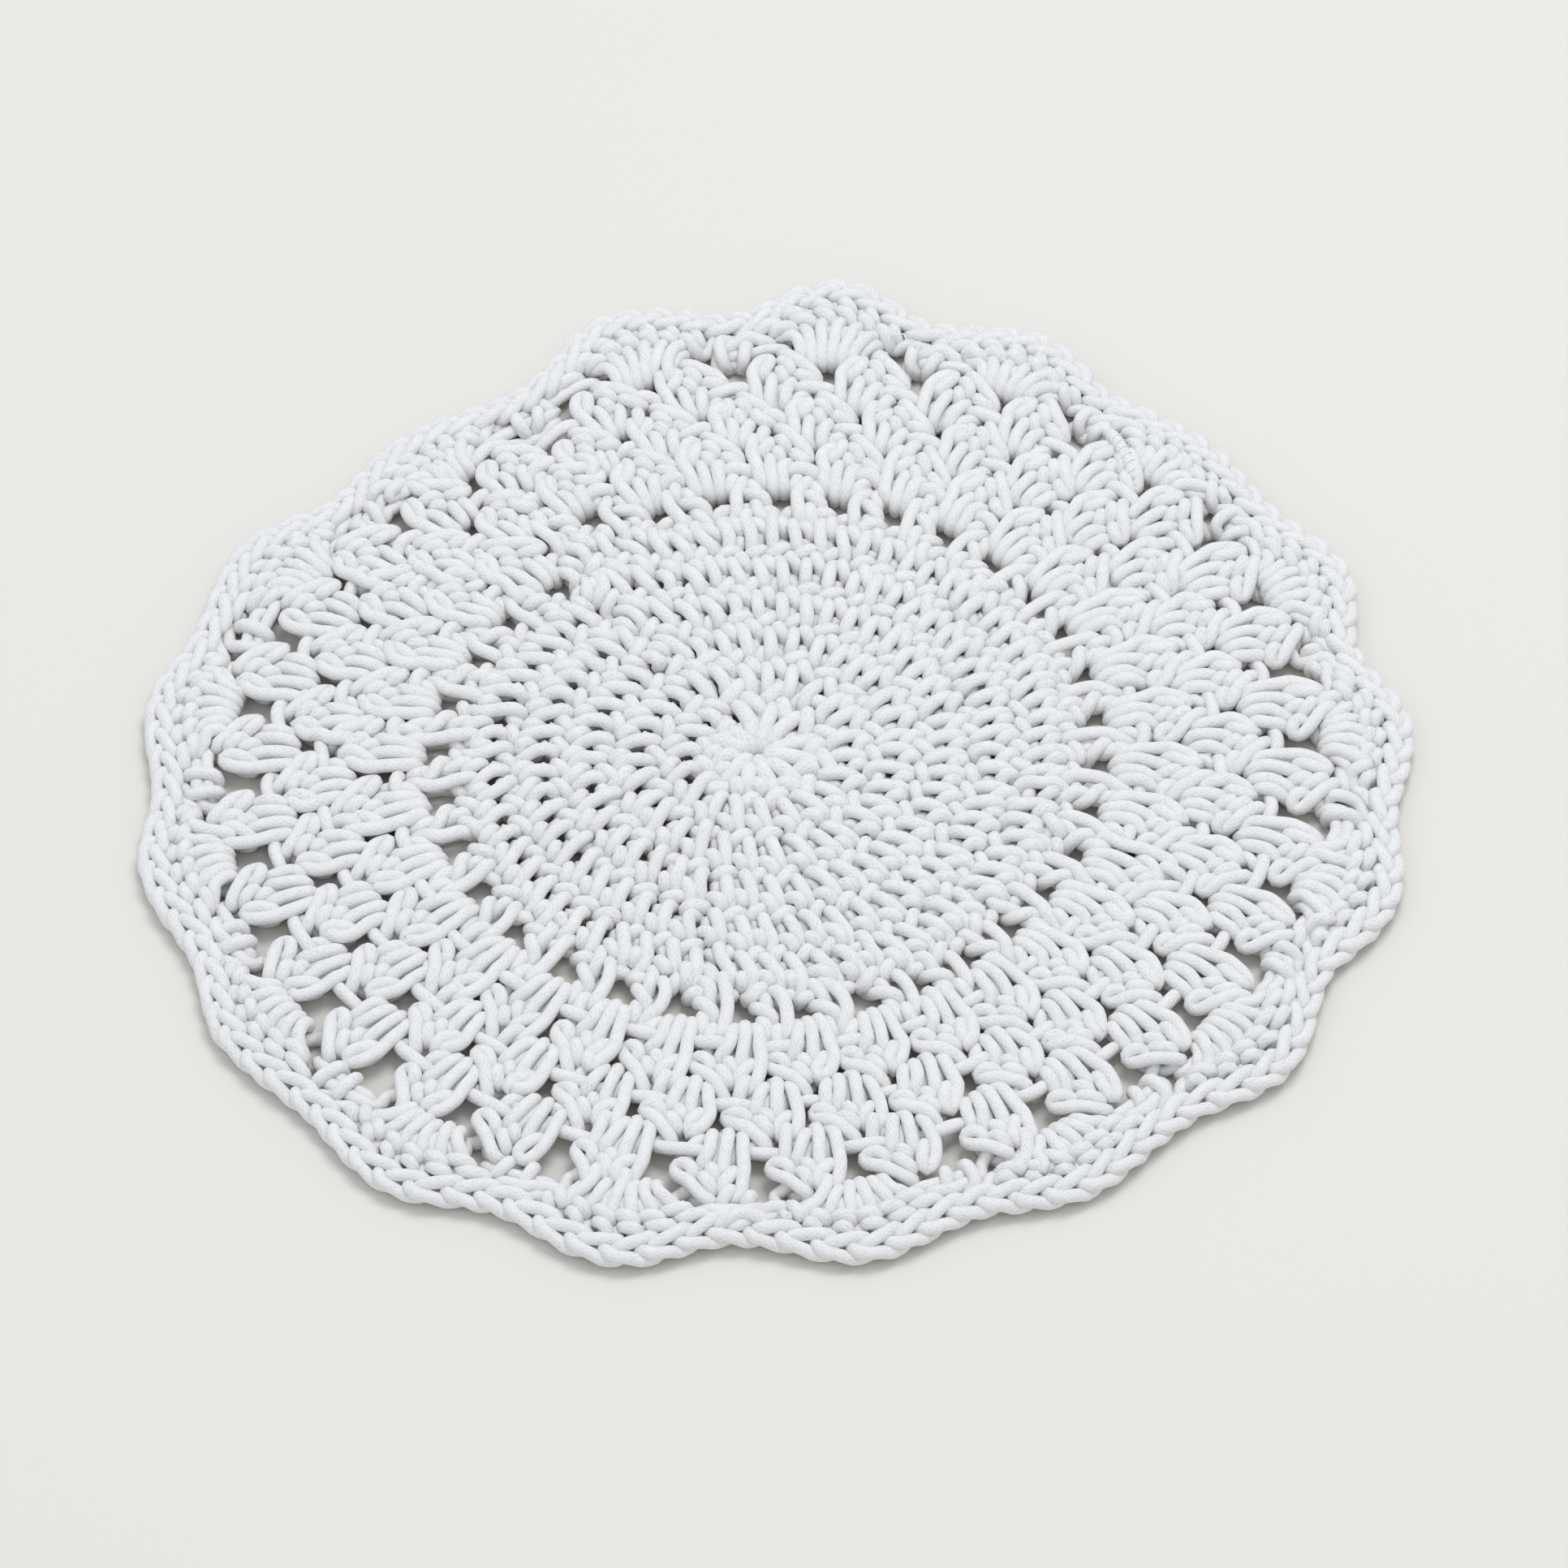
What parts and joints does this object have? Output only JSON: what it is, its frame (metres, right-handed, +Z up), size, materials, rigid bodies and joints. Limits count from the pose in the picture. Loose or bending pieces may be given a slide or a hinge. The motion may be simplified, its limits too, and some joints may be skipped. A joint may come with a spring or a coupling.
{
  "type": "crochet placemat",
  "caption": "Round openwork placemat crocheted in thick soft cotton cord, with a dense centre, rings of clusters and an uneven scalloped edge, lying flat.",
  "frame": {"origin": "on the table under the middle of the first stitches", "axes": "+Z up out of the table, +Y away from the diner, +X to the right"},
  "size_m": [0.3789, 0.3796, 0.0096],
  "materials": {
    "cotton_cord": "matt undyed off-white braided cotton cord, about 3.7 mm thick"
  },
  "bodies": {
    "root": {"mat": "cotton_cord"}
  },
  "joints": []
}
